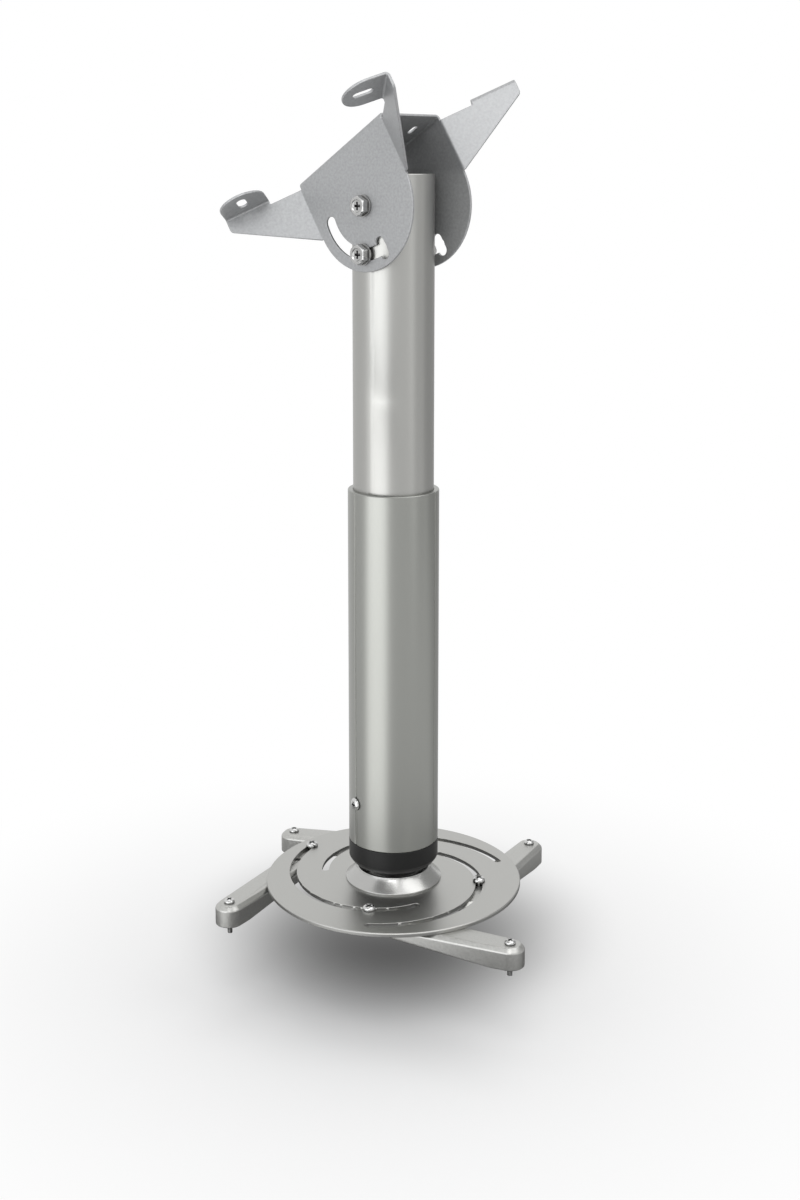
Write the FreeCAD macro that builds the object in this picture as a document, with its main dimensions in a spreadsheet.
import FreeCAD, Part
import math
import os

import Sketcher
from FreeCAD import Matrix, Placement, Rotation, Vector

# Projector ceiling mount: a folded ceiling bracket, a telescopic pole that tilts in it,
# a ball joint at the foot of the pole and a slotted disc that carries four arms.
# Millimetres. Z runs along the pole, z = 0 is the plane of the four arm feet.
# The tilt bolts run along Y, and the bracket climbs towards +X.

# Driving sizes, in millimetres and degrees
SIZES = {
    # upper tube
    "tube_diameter": 60.0,
    "tube_wall": 2.0,
    "tube_length": 345.0,
    "tube_edge": 0.6,
    # how far the foot of the upper tube reaches into the sleeve
    "tube_overlap": 114.0,
    # sleeve
    "sleeve_wall": 3.9,
    "sleeve_gap": 0.1,
    "sleeve_length": 272.0,
    "sleeve_edge": 0.5,
    "groove_width": 1.6,
    "groove_depth": 0.8,
    "groove_angle": 256.0,
    "socket_screw_level": 33.0,
    "lock_screw_drop": 25.0,
    "lock_screw_pitch": 40.0,
    "lock_screw_diameter": 6.0,
    # ceiling bracket, a sheet with four folded wings
    "sheet_thickness": 2.0,
    "cheek_gap": 0.3,
    "bracket_tilt": 32.0,
    "cheek_radius": 47.0,
    "web_height": 47.0,
    "fold_radius": 1.5,
    "wing_angle": 38.0,
    "wing_drop": 5.0,
    "crease_length": 42.0,
    "lug_start": 24.0,
    "lug_width": 35.0,
    "lug_length": 32.0,
    "lug_foot": 8.0,
    "lug_fillet": 1.0,
    "lug_slot_length": 15.0,
    "lug_slot_width": 7.0,
    "lug_slot_offset": 17.0,
    "corner_radius": 4.0,
    "web_slot_length": 9.0,
    "web_slot_width": 5.0,
    "web_slot_along": 29.0,
    "web_slot_across": 20.0,
    # tilt bolts
    "bolt_diameter": 8.0,
    "bolt_flats": 13.0,
    "bolt_head": 5.3,
    "bolt_tail": 3.0,
    "nut_height": 6.5,
    "washer_diameter": 16.0,
    "washer_thickness": 1.6,
    "pivot_drop": 22.5,
    "lock_radius": 34.3,
    "arc_slot_width": 9.0,
    "arc_slot_angle": 100.0,
    "keyhole_reach": 8.0,
    "keyhole_width": 8.1,
    "running_gap": 0.1,
    # ball joint
    "ball_radius": 25.5,
    "ball_gap": 0.15,
    "seat_thickness": 2.0,
    "seat_cap_hole_angle": 20.0,
    "seat_cap_angle": 70.0,
    "seat_ring_top_angle": 94.0,
    "seat_ring_foot_angle": 124.0,
    "ball_height": 30.0,
    "socket_length": 50.0,
    "socket_mouth": 5.5,
    "socket_cone_angle": 45.0,
    "collar_drop": 16.3,
    "collar_height": 18.8,
    "collar_shoulder": 5.6,
    "collar_bulge_radius": 12.0,
    "collar_lip": 6.5,
    "collar_opening": 45.0,
    "stud_diameter": 16.0,
    "stud_end": 1.0,
    "stud_nut_flats": 24.0,
    "stud_nut_height": 8.0,
    "stud_washer_diameter": 30.0,
    "stud_washer_thickness": 2.0,
    # bell
    "bell_diameter": 73.4,
    "bell_height": 10.5,
    "bell_cone_angle": 28.0,
    "bell_top_diameter": 56.8,
    "bell_top_edge": 1.2,
    "bell_flank_radius": 90.0,
    "bell_rim": 2.0,
    "bell_rim_edge": 1.2,
    "bell_rim_lip": 1.0,
    # disc
    "disc_diameter": 195.0,
    "disc_thickness": 3.0,
    "disc_edge": 0.6,
    "slot_width": 5.4,
    "slot_margin": 11.5,
    "slot_run": 32.0,
    "slot_sweep_angle": 150.0,
    "slot_start_angle": 60.0,
    # arms
    "arm_height": 16.0,
    "arm_root_height": 6.5,
    "arm_foot_length": 22.0,
    "arm_tip_width": 21.0,
    "arm_root_width": 28.0,
    "arm_bevel": 3.0,
    "arm_near_hole": 89.5,
    "arm_far_hole": 111.0,
    "face_gap": 0.1,
    # screws of the arms and of the socket
    "clamp_screw_diameter": 5.0,
    "clamp_screw_grip": 6.0,
    "clamp_head_diameter": 9.5,
    "clamp_head_height": 3.6,
    "clamp_head_brim": 1.2,
    "clamp_head_crown": 5.0,
    "foot_screw_diameter": 4.0,
    "foot_screw_reach": 8.0,
    "foot_shoulder_diameter": 4.4,
    "foot_head_diameter": 8.0,
    "foot_head_height": 3.0,
    "foot_head_brim": 1.0,
    "foot_head_crown": 4.2,
    "socket_screw_diameter": 5.0,
    "socket_screw_reach": 11.3,
    "socket_head_diameter": 9.5,
    "socket_head_height": 3.0,
    "socket_head_brim": 1.0,
    "socket_head_crown": 5.0,
    "shoulder_gap": 0.05,
}

# Each arm: which slot it is clamped in, how far along it, its heading, its hole
ARMS = (
    ("1", 1, 2.0, 281.0, "arm_far_hole"),
    ("2", 0, 68.0, 209.0, "arm_near_hole"),
    ("3", 2, 93.0, 102.0, "arm_near_hole"),
    ("4", 1, 115.0, 17.0, "arm_far_hole"),
)
SLOTS = 3
GROOVES = 3
# The lock screws sit on this groove, counted from the one that is seen
LOCK_GROOVE = 2
# Where the turned corner of a hexagon starts, as a share of its flats, and how far it spreads
BEVEL_START = 0.47
BEVEL_SPREAD = 1.7
# Keeps a hair of straight edge between two round corners
HAIR = 0.01

doc = FreeCAD.newDocument("CeilingMount")
sheet = doc.addObject("Spreadsheet::Sheet", "Sizes")
for row, (alias, number) in enumerate(SIZES.items(), start=1):
    sheet.set(f"A{row}", alias)
    sheet.set(f"B{row}", str(number))
    sheet.setAlias(f"B{row}", alias)
doc.recompute()


class Size:
    """A length or angle that knows its formula in the sheet and its value now."""

    def __init__(self, text, value):
        self.text = text
        self.value = value

    def joined(self, sign, other, value):
        return Size(f"({self.text} {sign} {other.text})", value)

    def __add__(self, other):
        other = as_size(other)
        return self.joined("+", other, self.value + other.value)

    def __sub__(self, other):
        other = as_size(other)
        return self.joined("-", other, self.value - other.value)

    def __mul__(self, other):
        other = as_size(other)
        return self.joined("*", other, self.value * other.value)

    def __truediv__(self, other):
        other = as_size(other)
        return self.joined("/", other, self.value / other.value)

    def __neg__(self):
        return Size(f"(-{self.text})", -self.value)


def as_size(thing):
    return thing if isinstance(thing, Size) else Size(repr(float(thing)), float(thing))


def sine(angle):
    return Size(f"sin({angle.text} * 1 deg)", math.sin(math.radians(angle.value)))


def cosine(angle):
    return Size(f"cos({angle.text} * 1 deg)", math.cos(math.radians(angle.value)))


def cell(alias):
    return Size(f"Sizes.{alias}", sheet.get(alias))


# Heights that follow from the stack of pieces, from the feet up
disc_bottom = cell("arm_height") + cell("face_gap")
disc_top = disc_bottom + cell("disc_thickness")
ball_centre = disc_top + cell("ball_height")
collar_bottom = ball_centre - cell("collar_drop")
collar_top = collar_bottom + cell("collar_height")
sleeve_top = collar_top + cell("sleeve_length")
tube_bottom = sleeve_top - cell("tube_overlap")
tube_top = tube_bottom + cell("tube_length")
pivot_height = tube_top - cell("pivot_drop")
lock_height = pivot_height - cell("lock_radius")
tube_radius = cell("tube_diameter") / 2
sleeve_bore = tube_radius + cell("sleeve_gap")
sleeve_radius = sleeve_bore + cell("sleeve_wall")
cheek_inside = tube_radius + cell("cheek_gap")
cheek_outside = cheek_inside + cell("sheet_thickness")
bolt_seat = cheek_outside + cell("washer_thickness") + cell("running_gap")
stud_washer_bottom = disc_bottom - cell("stud_washer_thickness")
stud_nut_bottom = stud_washer_bottom - cell("stud_nut_height")
stud_foot = stud_nut_bottom - cell("stud_end")

# Room for the ball, and for a seat round it
seat_inside = cell("ball_radius") + cell("ball_gap")
seat_outside = seat_inside + cell("seat_thickness")
socket_radius = seat_outside + cell("ball_gap")
ring_foot = ball_centre + seat_inside * cosine(cell("seat_ring_foot_angle"))
socket_foot = ball_centre - cell("socket_mouth")

# Screws in the sleeve: angles round the pole and heights
socket_screw_height = collar_top + cell("socket_screw_level")
first_lock_height = sleeve_top - cell("lock_screw_drop")
lock_screw_heights = (first_lock_height, first_lock_height - cell("lock_screw_pitch"))
groove_angles = [SIZES["groove_angle"] + 360.0 / GROOVES * number for number in range(GROOVES)]
socket_screw_angles = (groove_angles[0], groove_angles[LOCK_GROOVE])

# Centre line of a spiral slot, from its outer end to its inner end
slot_outer_radius = cell("disc_diameter") / 2 - cell("slot_margin")
slot_fall = SIZES["slot_run"] / math.radians(SIZES["slot_sweep_angle"])


def plane_of(body, role):
    for feature in body.Origin.OriginFeatures:
        if feature.Role == role:
            return feature
    raise ValueError(role)


def new_body(label):
    body = doc.addObject("PartDesign::Body", label)
    body.Label = label
    return body


def new_sketch(body, label, role, lift=None):
    sketch = body.newObject("Sketcher::SketchObject", label)
    sketch.AttachmentSupport = [(plane_of(body, role), "")]
    sketch.MapMode = "FlatFace"
    if lift is not None:
        sketch.AttachmentOffset = Placement(Vector(0, 0, lift.value), Rotation())
        sketch.setExpression("AttachmentOffset.Base.z", lift.text)
    return sketch


def bind(sketch, constraint, size):
    place = sketch.addConstraint(constraint)
    sketch.setExpression(f"Constraints[{place}]", size.text)


def pin_point(sketch, edge, end, x, y):
    """Hold a vertex at x, y from the sketch origin."""
    for kind, size, axis in (("DistanceX", x, -2), ("DistanceY", y, -1)):
        if abs(size.value) < 1e-9:
            sketch.addConstraint(Sketcher.Constraint("PointOnObject", edge, end, axis))
        else:
            bind(sketch, Sketcher.Constraint(kind, -1, 1, edge, end, size.value), size)


def arc_between(start, finish, radius):
    """Arc with its centre on the left of the way from start to finish for a positive radius."""
    chord = finish - start
    reach = math.sqrt(radius * radius - chord.Length ** 2 / 4)
    left = Vector(-chord.y, chord.x, 0).normalize()
    centre = (start + finish) / 2 + left * math.copysign(reach, radius)
    circle = Part.Circle(centre, Vector(0, 0, 1), abs(radius))
    first, last = (start, finish) if radius > 0 else (finish, start)
    angles = [math.atan2(spot.y - centre.y, spot.x - centre.x) for spot in (first, last)]
    return Part.ArcOfCircle(circle, angles[0], angles[1])


def draw_outline(sketch, corners):
    """Closed outline of x, y corners; a third value bends the edge that leaves the corner."""
    corners = [tuple(as_size(value) for value in corner) for corner in corners]
    spots = [Vector(corner[0].value, corner[1].value, 0) for corner in corners]
    ends = []
    for place, corner in enumerate(corners):
        start = spots[place]
        finish = spots[(place + 1) % len(spots)]
        if len(corner) == 3:
            edge = sketch.addGeometry(arc_between(start, finish, corner[2].value))
            ends.append((edge, 1, 2) if corner[2].value > 0 else (edge, 2, 1))
            size = corner[2] if corner[2].value > 0 else -corner[2]
            bind(sketch, Sketcher.Constraint("Radius", edge, size.value), size)
        else:
            ends.append((sketch.addGeometry(Part.LineSegment(start, finish)), 1, 2))
    for place, (edge, first, last) in enumerate(ends):
        following = ends[(place + 1) % len(ends)]
        sketch.addConstraint(Sketcher.Constraint("Coincident", edge, last, *following[:2]))
        pin_point(sketch, edge, first, corners[place][0], corners[place][1])


def draw_circle(sketch, x, y, radius):
    x, y, radius = as_size(x), as_size(y), as_size(radius)
    circle = Part.Circle(Vector(x.value, y.value, 0), Vector(0, 0, 1), radius.value)
    edge = sketch.addGeometry(circle)
    bind(sketch, Sketcher.Constraint("Radius", edge, radius.value), radius)
    pin_point(sketch, edge, 3, x, y)


def turned(body, label, corners, kind="PartDesign::Revolution"):
    """Outline in the XZ plane, turned once round the Z axis."""
    sketch = new_sketch(body, label + "Outline", "XZ_Plane")
    draw_outline(sketch, corners)
    feature = body.newObject(kind, label)
    feature.Profile = sketch
    feature.ReferenceAxis = (sketch, ["V_Axis"])
    feature.Angle = 360.0
    return feature


def extruded(body, label, sketch, length, kind="PartDesign::Pad", both=False, back=False):
    feature = body.newObject(kind, label)
    feature.Profile = sketch
    feature.Length = length.value
    feature.setExpression("Length", length.text)
    feature.SideType = "Symmetric" if both else "One side"
    feature.Reversed = back
    return feature


def repeated(body, label, feature, count):
    """The feature again and again round the Z axis."""
    pattern = body.newObject("PartDesign::PolarPattern", label)
    pattern.Originals = [feature]
    pattern.Axis = (plane_of(body, "Z_Axis"), [""])
    pattern.Angle = 360.0
    pattern.Occurrences = count
    body.Tip = pattern
    return pattern


def radial_place(angle, height):
    """A frame whose Z axis points outwards at this angle and height."""
    turn = Rotation(Vector(0, 0, 1), angle) * Rotation(Vector(0, 1, 0), 90)
    return Placement(Vector(0, 0, height), turn)


# Upper tube: drawn tube with two cross holes for the tilt bolts
def make_upper_tube():
    body = new_body("upper_tube")
    inside = tube_radius - cell("tube_wall")
    edge = cell("tube_edge")
    turned(body, "TubeWall", [
        (inside, tube_bottom),
        (tube_radius - edge, tube_bottom),
        (tube_radius, tube_bottom + edge),
        (tube_radius, tube_top - edge),
        (tube_radius - edge, tube_top),
        (inside, tube_top),
    ])
    holes = new_sketch(body, "BoltHoleCentres", "XZ_Plane")
    hole_radius = cell("bolt_diameter") / 2 + cell("running_gap")
    draw_circle(holes, 0, pivot_height, hole_radius)
    draw_circle(holes, 0, lock_height, hole_radius)
    extruded(body, "BoltHoles", holes, cell("tube_diameter") * 2, "PartDesign::Pocket", both=True)
    return body


# Sleeve: extruded outer tube with three fine grooves along its length
def make_sleeve():
    body = new_body("sleeve_tube")
    edge = cell("sleeve_edge")
    turned(body, "SleeveWall", [
        (sleeve_bore, collar_top),
        (sleeve_radius - edge, collar_top),
        (sleeve_radius, collar_top + edge),
        (sleeve_radius, sleeve_top - edge),
        (sleeve_radius - edge, sleeve_top),
        (sleeve_bore, sleeve_top),
    ])
    groove = new_sketch(body, "GrooveSection", "XY_Plane", collar_top)
    half = cell("groove_width") / 2
    floor = sleeve_radius - cell("groove_depth")
    draw_outline(groove, [
        (floor, -half),
        (sleeve_radius + half, -half),
        (sleeve_radius + half, half),
        (floor, half),
    ])
    turn_sketch(groove, cell("groove_angle"))
    cut = extruded(body, "Groove", groove, cell("sleeve_length"), "PartDesign::Pocket", back=True)
    repeated(body, "Grooves", cut, GROOVES)
    for number, angle in enumerate(socket_screw_angles, start=1):
        radial_hole(body, f"SocketScrewHole{number}", angle, socket_screw_height,
                    cell("socket_screw_diameter") / 2 + cell("running_gap"))
    for number, height in enumerate(lock_screw_heights, start=1):
        radial_hole(body, f"LockScrewHole{number}", groove_angles[LOCK_GROOVE], height,
                    cell("lock_screw_diameter") / 2 + cell("running_gap"))
    return body


def turn_sketch(sketch, angle):
    turn = Rotation(Vector(0, 0, 1), angle.value)
    sketch.AttachmentOffset = Placement(sketch.AttachmentOffset.Base, turn)
    sketch.setExpression("AttachmentOffset.Rotation.Angle", f"{angle.text} * 1 deg")


def radial_hole(body, label, angle, height, radius):
    """A hole through the wall on one side of the pole, pointing at its axis."""
    hole = body.newObject("PartDesign::SubtractiveCylinder", label)
    hole.Radius = radius.value
    hole.setExpression("Radius", radius.text)
    hole.Height = (sleeve_radius * 2).value
    hole.setExpression("Height", (sleeve_radius * 2).text)
    hole.AttachmentSupport = [(plane_of(body, "XY_Plane"), "")]
    hole.MapMode = "FlatFace"
    hole.AttachmentOffset = radial_place(angle, height.value)
    hole.setExpression("AttachmentOffset.Base.z", height.text)
    return hole


# Collar: moulded black ring that is screwed on the socket and holds the ball from below
def make_collar():
    body = new_body("collar_ring")
    lip_inside = cell("collar_opening") / 2
    step = socket_foot - cell("ball_gap") * 2
    floor = ring_foot - cell("ball_gap")
    turned(body, "CollarSection", [
        (lip_inside, collar_bottom),
        (lip_inside + cell("collar_lip"), collar_bottom, cell("collar_bulge_radius")),
        (sleeve_radius, collar_bottom + cell("collar_shoulder")),
        (sleeve_radius, collar_top),
        (sleeve_bore, collar_top),
        (sleeve_bore, step),
        (socket_radius, step),
        (socket_radius, floor),
        (lip_inside, floor),
    ])
    return body


# Socket: turned insert in the foot of the sleeve, with a cone that centres the upper seat
def make_socket():
    body = new_body("socket_insert")
    angle = cell("socket_cone_angle")
    cable_hole = cell("stud_diameter") / 2
    cone_foot = ball_centre + (socket_radius - socket_radius * sine(angle)) / cosine(angle)
    cone_top = ball_centre + (socket_radius - cable_hole * sine(angle)) / cosine(angle)
    head = socket_foot + cell("socket_length")
    turned(body, "SocketSection", [
        (socket_radius, socket_foot),
        (tube_radius, socket_foot),
        (tube_radius, head),
        (cable_hole, head),
        (cable_hole, cone_top),
        (socket_radius, cone_foot),
    ])
    for number, angle in enumerate(socket_screw_angles, start=1):
        radial_hole(body, f"SocketScrewThread{number}", angle, socket_screw_height,
                    cell("socket_screw_diameter") / 2)
    return body


def polar(radius, angle):
    """Point of the section at this distance from the ball's centre, its angle from straight up."""
    return (radius * sine(angle), ball_centre + radius * cosine(angle))


# Upper seat: moulded cap on the ball, with a hole at its crown
def make_upper_seat():
    body = new_body("upper_ball_seat")
    crown = cell("seat_cap_hole_angle")
    brim = cell("seat_cap_angle")
    turned(body, "UpperSeatSection", [
        polar(seat_inside, crown) + (-seat_inside,),
        polar(seat_inside, brim),
        polar(seat_outside, brim) + (seat_outside,),
        polar(seat_outside, crown),
    ])
    return body


# Lower seat: moulded ring, hollow like the ball inside and straight where it sits in the collar
def make_lower_seat():
    body = new_body("lower_ball_seat")
    top = polar(seat_inside, cell("seat_ring_top_angle"))
    turned(body, "LowerSeatSection", [
        top + (-seat_inside,),
        polar(seat_inside, cell("seat_ring_foot_angle")),
        (seat_outside, ring_foot),
        (seat_outside, top[1]),
    ])
    return body


# Ball with its threaded stud, turned from one bar
def make_ball():
    body = new_body("ball_stud")
    ball = body.newObject("PartDesign::AdditiveSphere", "Ball")
    ball.AttachmentSupport = [(plane_of(body, "XY_Plane"), "")]
    ball.MapMode = "FlatFace"
    ball.AttachmentOffset = Placement(Vector(0, 0, ball_centre.value), Rotation())
    ball.setExpression("AttachmentOffset.Base.z", ball_centre.text)
    ball.Radius = SIZES["ball_radius"]
    ball.setExpression("Radius", cell("ball_radius").text)
    stud = new_sketch(body, "StudSection", "XY_Plane", stud_foot)
    draw_circle(stud, 0, 0, cell("stud_diameter") / 2)
    extruded(body, "Stud", stud, ball_centre - stud_foot)
    return body


# Bell: flare between the ball and the disc, with a cone under the ball, a flat top that stays
# clear of the collar as the ball tilts, and a thin rim
def make_bell():
    body = new_body("bell_flange")
    shoulder = cell("bell_top_diameter") / 2
    edge = cell("bell_top_edge")
    rim = cell("bell_diameter") / 2
    top = disc_top + cell("bell_height")
    bore = cell("stud_diameter") / 2 + cell("running_gap")
    angle = cell("bell_cone_angle")
    slope = sine(angle) / cosine(angle)
    cone_tip = ball_centre - cell("ball_radius") / cosine(angle)
    turned(body, "BellSection", [
        (bore, disc_top),
        (rim, disc_top),
        (rim, disc_top + cell("bell_rim_edge")),
        (rim - cell("bell_rim_lip"), disc_top + cell("bell_rim"), -cell("bell_flank_radius")),
        (shoulder, top - edge, edge),
        (shoulder - edge, top),
        ((top - cone_tip) / slope, top),
        (bore, cone_tip + bore * slope),
    ])
    return body


def spiral_point(turn, offset, start):
    """Point on the slot's centre line, moved outwards by offset; the radius falls evenly."""
    radius = slot_outer_radius.value - slot_fall * math.radians(turn)
    angle = math.radians(start + turn)
    along = Vector(-radius * math.sin(angle) - slot_fall * math.cos(angle),
                   radius * math.cos(angle) - slot_fall * math.sin(angle), 0).normalize()
    outward = Vector(along.y, -along.x, 0)
    return Vector(radius * math.cos(angle), radius * math.sin(angle), 0) + outward * offset


def spiral_edge(offset, start):
    """Smooth curve through points of the spiral, one every fifteen degrees."""
    steps = 10
    curve = Part.BSplineCurve()
    sweep = SIZES["slot_sweep_angle"]
    curve.interpolate([spiral_point(sweep * step / steps, offset, start) for step in range(steps + 1)])
    return curve


def slot_end(turn, start, side):
    """Round end of a slot: an arc through its two corners and its furthest point."""
    half = SIZES["slot_width"] / 2
    middle = spiral_point(turn, 0, start)
    inner = spiral_point(turn, -half, start)
    outer = spiral_point(turn, half, start)
    along = (outer - inner).normalize().cross(Vector(0, 0, side))
    return Part.Arc(outer, middle + along * half, inner)


# Disc: stamped plate with three spiral slots, the arms are clamped anywhere along them
def make_disc():
    body = new_body("slotted_disc")
    radius = cell("disc_diameter") / 2
    edge = cell("disc_edge")
    bore = cell("stud_diameter") / 2 + cell("running_gap")
    turned(body, "DiscBlank", [
        (bore, disc_bottom),
        (radius, disc_bottom),
        (radius, disc_top - edge),
        (radius - edge, disc_top),
        (bore, disc_top),
    ])
    sketch = new_sketch(body, "SpiralSlot", "XY_Plane", disc_bottom)
    start = SIZES["slot_start_angle"]
    half = SIZES["slot_width"] / 2
    sketch.addGeometry(spiral_edge(half, start))
    sketch.addGeometry(slot_end(SIZES["slot_sweep_angle"], start, -1))
    sketch.addGeometry(spiral_edge(-half, start))
    sketch.addGeometry(slot_end(0.0, start, 1))
    slot = extruded(body, "Slot", sketch, cell("disc_thickness"), "PartDesign::Pocket", back=True)
    repeated(body, "Slots", slot, SLOTS)
    return body


def draw_tapered_outline(sketch, tip_radius, root_radius, reach):
    """Two circles of different size joined by their common tangents."""
    lean = math.asin((root_radius.value - tip_radius.value) / reach.value)
    up = Vector(-math.sin(lean), math.cos(lean), 0)
    down = Vector(-math.sin(lean), -math.cos(lean), 0)
    tip = Vector(0, 0, 0)
    root = Vector(reach.value, 0, 0)
    upper = [tip + up * tip_radius.value, root + up * root_radius.value]
    lower = [root + down * root_radius.value, tip + down * tip_radius.value]
    line_up = sketch.addGeometry(Part.LineSegment(*upper))
    root_arc = sketch.addGeometry(Part.Arc(upper[1], root + Vector(root_radius.value, 0, 0), lower[0]))
    line_down = sketch.addGeometry(Part.LineSegment(*lower))
    tip_arc = sketch.addGeometry(Part.Arc(lower[1], Vector(-tip_radius.value, 0, 0), upper[0]))
    for first, first_end, second, second_end in (
            (line_up, 2, root_arc, 2), (root_arc, 1, line_down, 1),
            (line_down, 2, tip_arc, 2), (tip_arc, 1, line_up, 1)):
        sketch.addConstraint(Sketcher.Constraint("Tangent", first, first_end, second, second_end))
    bind(sketch, Sketcher.Constraint("Radius", tip_arc, tip_radius.value), tip_radius)
    bind(sketch, Sketcher.Constraint("Radius", root_arc, root_radius.value), root_radius)
    pin_point(sketch, tip_arc, 3, as_size(0), as_size(0))
    pin_point(sketch, root_arc, 3, reach, as_size(0))


# Arm: cast finger, deep at the foot and thin where it lies under the disc
def make_arm(label):
    body = new_body(label)
    height = cell("arm_height")
    reach = cell("arm_far_hole")
    tip_radius = cell("arm_tip_width") / 2
    root_radius = cell("arm_root_width") / 2
    outline = new_sketch(body, label + "Outline", "XY_Plane")
    draw_tapered_outline(outline, tip_radius, root_radius, reach)
    blank = extruded(body, label + "Blank", outline, height)
    doc.recompute()
    upper_edges = [f"Edge{number}" for number, edge in enumerate(blank.Shape.Edges, start=1)
                   if edge.BoundBox.ZMin > height.value - 1e-6]
    bevel = body.newObject("PartDesign::Chamfer", label + "Bevel")
    bevel.Base = (blank, upper_edges)
    bevel.Size = SIZES["arm_bevel"]
    bevel.setExpression("Size", cell("arm_bevel").text)
    slope = new_sketch(body, label + "Underside", "XZ_Plane")
    foot = cell("arm_foot_length") - tip_radius
    far = reach + root_radius + height
    rise = height - cell("arm_root_height")
    draw_outline(slope, [
        (foot, -height),
        (foot, 0),
        (reach, rise),
        (far, rise),
        (far, -height),
    ])
    extruded(body, label + "Slope", slope, root_radius * 4, "PartDesign::Pocket", both=True)
    holes = new_sketch(body, label + "HoleCentres", "XY_Plane")
    draw_circle(holes, 0, 0, cell("foot_shoulder_diameter") / 2 + cell("shoulder_gap"))
    for place in ("arm_near_hole", "arm_far_hole"):
        draw_circle(holes, cell(place), 0, cell("clamp_screw_diameter") / 2)
    extruded(body, label + "Holes", holes, height * 2, "PartDesign::Pocket", both=True)
    return body


def screw_corners(kind):
    """Section of a low screw head that narrows to a crown, from its seat at z = 0 to its top."""
    height = cell(f"{kind}_head_height")
    return [
        (cell(f"{kind}_head_diameter") / 2, 0),
        (cell(f"{kind}_head_diameter") / 2, cell(f"{kind}_head_brim")),
        (cell(f"{kind}_head_crown") / 2, height),
        (0, height),
    ]


def make_screw(label, kind, reach):
    """Headed screw whose plain shank points down from its seat at z = 0."""
    body = new_body(label)
    shank = cell(f"{kind}_screw_diameter") / 2
    turned(body, label + "Section", [(0, -reach), (shank, -reach), (shank, 0)] + screw_corners(kind))
    return body


# Foot screw: its shoulder lets the arm turn, its thread stands out below the foot
def make_shoulder_screw(label):
    body = new_body(label)
    shank = cell("foot_screw_diameter") / 2
    shoulder = cell("foot_shoulder_diameter") / 2
    reach = cell("arm_height") + cell("foot_screw_reach")
    turned(body, label + "Section", [
        (0, -reach),
        (shank, -reach),
        (shank, -cell("arm_height")),
        (shoulder, -cell("arm_height")),
        (shoulder, 0),
    ] + screw_corners("foot"))
    return body


def clamp_place(slot, turn):
    return spiral_point(turn, 0, SIZES["slot_start_angle"] + 360.0 / SLOTS * slot)


def make_arm_set(number, slot, turn, heading, hole):
    """An arm under the disc with the screw that clamps it and the screw in its foot."""
    clamp = clamp_place(slot, turn)
    pointing = Vector(math.cos(math.radians(heading)), math.sin(math.radians(heading)), 0)
    foot = clamp + pointing * SIZES[hole]
    arm = make_arm(f"arm_{number}")
    arm.Placement = Placement(foot, Rotation(Vector(0, 0, 1), heading + 180.0))
    clamp_screw = make_screw(f"clamp_screw_{number}", "clamp",
                             cell("disc_thickness") + cell("face_gap") * 2 + cell("clamp_screw_grip"))
    lift = Vector(0, 0, disc_top.value + SIZES["face_gap"])
    clamp_screw.Placement = Placement(clamp + lift, Rotation())
    foot_screw = make_shoulder_screw(f"foot_screw_{number}")
    foot_screw.Placement = Placement(foot + Vector(0, 0, SIZES["arm_height"]), Rotation())
    return [arm, clamp_screw, foot_screw]


def primitive(kind, label, sizes, base=None):
    """A solid primitive whose sizes follow the sheet."""
    thing = doc.addObject(kind, label)
    for name, size in sizes.items():
        size = as_size(size)
        setattr(thing, name, size.value)
        thing.setExpression(name, size.text)
    if base is not None:
        thing.Placement.Base = Vector(0, 0, base.value)
        thing.setExpression("Placement.Base.z", base.text)
    return thing


def cylinder(label, radius, height, base=None):
    return primitive("Part::Cylinder", label, {"Radius": radius, "Height": height}, base)


def hexagon(label, flats, height, base):
    """Hexagon with the corners of its outer end turned down."""
    sizes = {"Circumradius": flats / math.sqrt(3), "Height": height}
    prism = primitive("Part::Prism", label + "Hexagon", sizes, base)
    prism.Polygon = 6
    bevel = flats * BEVEL_START
    cone = primitive("Part::Cone", label + "Turned", {
        "Radius1": bevel, "Radius2": bevel + height * BEVEL_SPREAD, "Height": height}, base)
    common = doc.addObject("Part::Common", label + "Head")
    common.Base = prism
    common.Tool = cone
    return common


def along_y(height, start):
    """Turns a piece from the Z axis to the Y axis, at this height and start."""
    return Placement(Vector(0, start, height), Rotation(Vector(1, 0, 0), -90))


# Tilt bolts: hexagon head outside the front cheek, nut outside the rear cheek
def make_bolt(label, height):
    head = hexagon(label, cell("bolt_flats"), cell("bolt_head"), -cell("bolt_head"))
    length = bolt_seat * 2 + cell("nut_height") + cell("bolt_tail")
    shank = cylinder(label + "Shank", cell("bolt_diameter") / 2, length)
    bolt = doc.addObject("Part::Fuse", label)
    bolt.Base = head
    bolt.Tool = shank
    bolt.Placement = along_y(height.value, -bolt_seat.value)
    bolt.Label = label
    return bolt


def make_ring(label, outside, inside, height, base):
    disc = cylinder(label + "Disc", outside, height, base)
    bore = cylinder(label + "Bore", inside, height * 3, base - height)
    ring = doc.addObject("Part::Cut", label)
    ring.Base = disc
    ring.Tool = bore
    return ring


def make_nut(label, flats, bore, height, base):
    blank = hexagon(label, flats, height, base)
    hole = cylinder(label + "Thread", bore, height * 3, base - height)
    nut = doc.addObject("Part::Cut", label)
    nut.Base = blank
    nut.Tool = hole
    return nut


def make_group(label, pieces):
    group = doc.addObject("Part::Compound", label)
    group.Links = pieces
    group.Label = label
    return group


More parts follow.
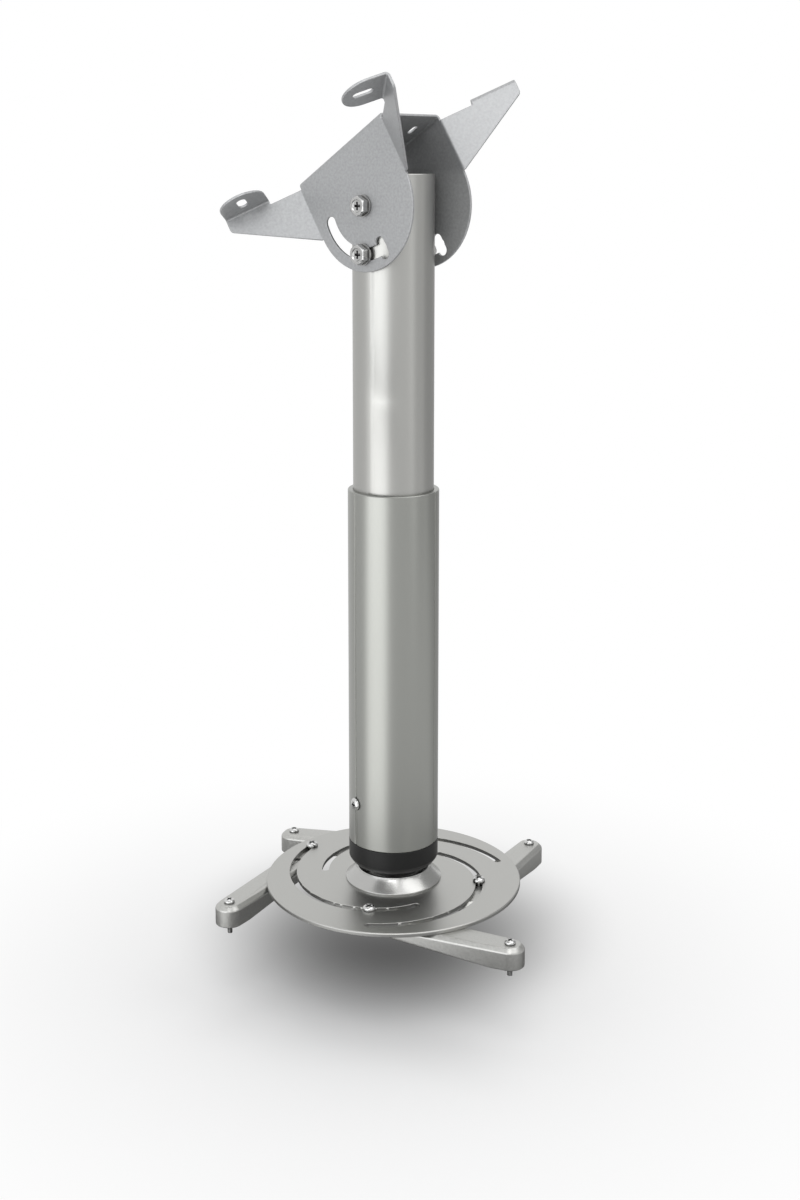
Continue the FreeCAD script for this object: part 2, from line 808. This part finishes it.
def make_bolt_washers():
    """Four washers, one on each side of each tilt bolt."""
    washers = []
    front = -bolt_seat.value
    rear = bolt_seat.value - SIZES["washer_thickness"]
    for name, height in (("Pivot", pivot_height), ("Lock", lock_height)):
        for side, start in (("Front", front), ("Rear", rear)):
            washer = make_ring(f"{name}{side}Washer", cell("washer_diameter") / 2,
                               cell("bolt_diameter") / 2, cell("washer_thickness"), as_size(0))
            washer.Placement = along_y(height.value, start)
            washers.append(washer)
    return make_group("bolt_washers", washers)


def make_bolt_nuts():
    nuts = []
    for name, height in (("Pivot", pivot_height), ("Lock", lock_height)):
        nut = make_nut(f"{name}Nut", cell("bolt_flats"), cell("bolt_diameter") / 2,
                       cell("nut_height"), as_size(0))
        nut.Placement = Placement(Vector(0, bolt_seat.value + SIZES["nut_height"], height.value),
                                  Rotation(Vector(1, 0, 0), 90))
        nuts.append(nut)
    return make_group("bolt_nuts", nuts)


def make_socket_screws():
    """Two headed screws through the sleeve's grooves into the socket."""
    screws = []
    for number, angle in enumerate(socket_screw_angles, start=1):
        screw = make_screw(f"socket_screw_{number}", "socket", cell("socket_screw_reach"))
        frame = radial_place(angle, socket_screw_height.value)
        screw.Placement = frame * Placement(Vector(0, 0, sleeve_radius.value), Rotation())
        screws.append(screw)
    return make_group("socket_screws", screws)


def make_lock_screws():
    """Two headless screws behind the pole that press on the upper tube and hold the length."""
    screws = []
    reach = sleeve_radius - sleeve_bore - cell("running_gap")
    for number, height in enumerate(lock_screw_heights, start=1):
        screw = cylinder(f"LockScrew{number}", cell("lock_screw_diameter") / 2, reach)
        frame = radial_place(groove_angles[LOCK_GROOVE], height.value)
        screw.Placement = frame * Placement(Vector(0, 0, (sleeve_radius - reach).value), Rotation())
        screws.append(screw)
    return make_group("sleeve_lock_screws", screws)


def rounded_wire(corners):
    """Closed wire of x, y, radius corners, each rounded by a tangent arc where it has a radius."""
    edges = []
    pieces = []
    count = len(corners)
    for place, (x, y, radius) in enumerate(corners):
        here = Vector(x, y, 0)
        before = (Vector(*corners[place - 1][:2], 0) - here).normalize()
        after = (Vector(*corners[(place + 1) % count][:2], 0) - here).normalize()
        if radius == 0:
            pieces.append((here, None, here))
            continue
        half_turn = before.getAngle(after) / 2
        setback = radius / math.tan(half_turn)
        inward = (before + after).normalize()
        middle = here + inward * (radius / math.sin(half_turn) - radius)
        pieces.append((here + before * setback, middle, here + after * setback))
    for place, (start, middle, finish) in enumerate(pieces):
        if middle is not None:
            edges.append(Part.Arc(start, middle, finish).toShape())
        following = pieces[(place + 1) % count][0]
        if (following - finish).Length > 1e-6:
            edges.append(Part.LineSegment(finish, following).toShape())
    return Part.Wire(edges)


def plate(corners, origin, along, up, thickness):
    """Flat plate of this outline, its mid-plane through the origin and the two directions."""
    normal = along.cross(up)
    frame = Matrix(along.x, up.x, normal.x, origin.x,
                   along.y, up.y, normal.y, origin.y,
                   along.z, up.z, normal.z, origin.z,
                   0, 0, 0, 1)
    solid = Part.Face(rounded_wire(corners)).extrude(Vector(0, 0, thickness))
    solid.translate(Vector(0, 0, -thickness / 2))
    solid.Placement = Placement(frame) * solid.Placement
    return solid


def bend(centre, axis, start, angle, inner, thickness, length):
    """Curved piece of sheet: from direction start, turned by angle about the axis."""
    side = axis.cross(start)
    frame = Matrix(start.x, side.x, axis.x, centre.x,
                   start.y, side.y, axis.y, centre.y,
                   start.z, side.z, axis.z, centre.z,
                   0, 0, 0, 1)
    outer = Part.makeCylinder(inner + thickness, length, Vector(), Vector(0, 0, 1), angle)
    core = Part.makeCylinder(inner, length, Vector(), Vector(0, 0, 1), angle)
    sector = outer.cut(core)
    sector.Placement = Placement(frame)
    return sector


def slot_tool(centre, along, normal, length, width, depth):
    """Round-ended slot cutter, centred on its point and cutting both ways."""
    side = normal.cross(along)
    half = length / 2 - width / 2
    ends = [centre + along * half * sign for sign in (-1, 1)]
    base = normal * (-depth / 2)
    tool = Part.makeBox(2 * half, width, depth, Vector(-half, -width / 2, -depth / 2))
    tool.Placement = Placement(Matrix(along.x, side.x, normal.x, centre.x,
                                      along.y, side.y, normal.y, centre.y,
                                      along.z, side.z, normal.z, centre.z,
                                      0, 0, 0, 1))
    rounds = [Part.makeCylinder(width / 2, depth, end + base, normal) for end in ends]
    return tool.multiFuse(rounds)


# Ceiling bracket: one sheet, folded to a channel with two round cheeks; the cheeks' sides
# are folded out to four wings, and each wing ends in a slotted lug in the ceiling's plane.
# Worked out in its own frame: pivot at the origin, X along the web, Z towards the ceiling.
def make_bracket():
    sheet_size = SIZES["sheet_thickness"]
    middle = cheek_outside.value - sheet_size / 2
    top = SIZES["web_height"]
    radius = SIZES["cheek_radius"]
    inner = SIZES["fold_radius"]
    neutral = inner + sheet_size / 2
    along = Vector(1, 0, 0)
    across = Vector(0, 1, 0)
    up = Vector(0, 0, 1)

    fold_level = top - sheet_size / 2 - neutral
    web = plate([(-radius, -middle + neutral, 0), (radius, -middle + neutral, 0),
                 (radius, middle - neutral, 0), (-radius, middle - neutral, 0)],
                Vector(0, 0, top - sheet_size / 2), along, across, sheet_size)
    pieces = [web]
    for side in (-1, 1):
        cheek = plate([(-radius, fold_level, 0), (-radius, -radius, radius - HAIR),
                       (radius, -radius, radius - HAIR), (radius, fold_level, 0)],
                      Vector(0, side * middle, 0), along, up, sheet_size)
        pieces.append(cheek)
        centre = Vector(-radius, side * (middle - neutral), fold_level)
        first = up if side < 0 else across
        pieces.append(bend(centre, along, first, 90, inner, sheet_size, 2 * radius))
    for side in (-1, 1):
        for end in (-1, 1):
            pieces.extend(make_wing(side, end, middle, neutral))
    solid = pieces[0].multiFuse(pieces[1:])
    tools = bracket_holes(middle, top)
    return solid.cut(tools).removeSplitter()


def make_wing(side, end, middle, neutral):
    """One wing and its lug: side is the cheek, end the side of that cheek."""
    sheet_size = SIZES["sheet_thickness"]
    inner = SIZES["fold_radius"]
    lean = math.radians(SIZES["wing_angle"])
    radius = SIZES["cheek_radius"]
    top = SIZES["web_height"]
    up = Vector(0, 0, 1)
    reach = Vector(end * math.cos(lean), side * math.sin(lean), 0)
    outward = Vector(-end * math.sin(lean), side * math.cos(lean), 0)
    crease_top = top - SIZES["wing_drop"]
    crease_foot = crease_top - SIZES["crease_length"]
    centre = Vector(end * radius, side * (middle + neutral), crease_foot)
    first = Vector(0, -side, 0) if end * side > 0 else outward * -1
    fold = bend(centre, up, first, SIZES["wing_angle"], inner, sheet_size, SIZES["crease_length"])
    start = centre - outward * neutral
    origin = Vector(start.x, start.y, 0)
    lug_end = SIZES["lug_start"] + SIZES["lug_width"]
    lug_level = top - sheet_size / 2 - neutral
    corner = SIZES["corner_radius"]
    wing = plate([(0, crease_foot, 0), (lug_end, top - SIZES["lug_foot"] - corner, corner),
                  (lug_end, lug_level, 0), (SIZES["lug_start"], lug_level, 0),
                  (SIZES["lug_start"], crease_top, SIZES["lug_fillet"]), (0, crease_top, 0)],
                 origin, reach, up, sheet_size)
    lug_origin = origin + outward * neutral + Vector(0, 0, top - sheet_size / 2)
    fold_centre = origin + outward * neutral + reach * SIZES["lug_start"] + Vector(0, 0, lug_level)
    lug_fold = make_lug_fold(fold_centre, reach, outward, inner, sheet_size)
    half = SIZES["lug_width"] / 2
    length = SIZES["lug_length"] - neutral
    lug = plate([(SIZES["lug_start"], 0, 0), (lug_end, 0, 0), (lug_end, length, half - HAIR),
                 (SIZES["lug_start"], length, half - HAIR)],
                lug_origin, reach, outward, sheet_size)
    return [fold, wing, lug_fold, lug]


def make_lug_fold(centre, reach, outward, inner, sheet_size):
    """Fold between a wing and its lug, along the top of the wing."""
    back = outward * -1
    up = Vector(0, 0, 1)
    if up.cross(back).dot(reach) > 0:
        return bend(centre, reach, up, 90, inner, sheet_size, SIZES["lug_width"])
    return bend(centre, reach, back, 90, inner, sheet_size, SIZES["lug_width"])


def bracket_holes(middle, top):
    """Pivot holes, arc slots with keyhole ends, and the slots of lugs and web."""
    across = Vector(0, 1, 0)
    along = Vector(1, 0, 0)
    up = Vector(0, 0, 1)
    depth = 4 * middle
    pivot = Part.makeCylinder(SIZES["bolt_diameter"] / 2 + SIZES["running_gap"], depth,
                              Vector(0, -depth / 2, 0), across)
    tools = [pivot, arc_slot(depth)]
    keyhole = slot_tool(Vector(0, 0, -SIZES["lock_radius"]), up, across,
                        SIZES["arc_slot_width"] + SIZES["keyhole_reach"], SIZES["keyhole_width"], depth)
    tools.append(keyhole)
    lean = math.radians(SIZES["wing_angle"])
    neutral = SIZES["fold_radius"] + SIZES["sheet_thickness"] / 2
    for side in (-1, 1):
        for end in (-1, 1):
            spot = Vector(end * SIZES["web_slot_along"], side * SIZES["web_slot_across"], top)
            tools.append(slot_tool(spot, along, up, SIZES["web_slot_length"],
                                   SIZES["web_slot_width"], SIZES["web_height"] / 2))
            reach = Vector(end * math.cos(lean), side * math.sin(lean), 0)
            outward = Vector(-end * math.sin(lean), side * math.cos(lean), 0)
            crease = Vector(end * SIZES["cheek_radius"], side * (middle + neutral), 0)
            spot = crease - outward * neutral + reach * (SIZES["lug_start"] + SIZES["lug_width"] / 2)
            spot += outward * SIZES["lug_slot_offset"] + Vector(0, 0, top)
            tools.append(slot_tool(spot, outward, up, SIZES["lug_slot_length"],
                                   SIZES["lug_slot_width"], SIZES["sheet_thickness"] * 4))
    return tools


def arc_slot(depth):
    """Curved slot round the pivot, from the centre line towards the lower end of the web."""
    radius = SIZES["lock_radius"]
    half = SIZES["arc_slot_width"] / 2
    axis = Vector(0, 1, 0)
    sweep = SIZES["arc_slot_angle"]
    band = bend(Vector(0, -depth / 2, 0), axis, Vector(0, 0, -1), sweep, radius - half, 2 * half, depth)
    rounds = []
    for turn in (0.0, sweep):
        angle = math.radians(turn)
        spot = Vector(-radius * math.sin(angle), -depth / 2, -radius * math.cos(angle))
        rounds.append(Part.makeCylinder(half, depth, spot, axis))
    return band.multiFuse(rounds)


def add_bracket():
    bracket = doc.addObject("Part::Feature", "ceiling_bracket")
    bracket.Label = "ceiling_bracket"
    bracket.Shape = make_bracket()
    bracket.Placement = Placement(Vector(0, 0, pivot_height.value),
                                  Rotation(Vector(0, 1, 0), -SIZES["bracket_tilt"]))
    return bracket


def make_all():
    bore = cell("stud_diameter") / 2
    nodes = [
        add_bracket(),
        make_bolt("pivot_bolt", pivot_height),
        make_bolt("tilt_lock_bolt", lock_height),
        make_bolt_washers(),
        make_bolt_nuts(),
        make_upper_tube(),
        make_sleeve(),
        make_socket_screws(),
        make_lock_screws(),
        make_socket(),
        make_upper_seat(),
        make_lower_seat(),
        make_collar(),
        make_ball(),
        make_bell(),
        make_disc(),
        make_ring("stud_washer", cell("stud_washer_diameter") / 2, bore,
                  cell("stud_washer_thickness"), stud_washer_bottom),
        make_nut("stud_nut", cell("stud_nut_flats"), bore, cell("stud_nut_height"), stud_nut_bottom),
    ]
    for row in ARMS:
        nodes.extend(make_arm_set(*row))
    return nodes


def check(nodes):
    """Stops if an object of the document failed or a sub-part's shape is not sound."""
    for thing in doc.Objects:
        if "Invalid" in thing.State or "Error" in thing.State:
            raise RuntimeError(f"{thing.Label}: {thing.State}")
    for node in nodes:
        if node.Shape.isNull() or not node.Shape.isValid():
            raise RuntimeError(f"{node.Label}: bad shape")


nodes = make_all()
doc.recompute()
check(nodes)
os.makedirs("parts", exist_ok=True)
for node in nodes:
    node.Shape.exportStep(f"parts/{node.Label}.step")
    box = node.Shape.BoundBox
    print(f"{node.Label:20} solids {len(node.Shape.Solids)} volume {node.Shape.Volume:10.0f} "
          f"z {box.ZMin:7.1f} {box.ZMax:7.1f}")
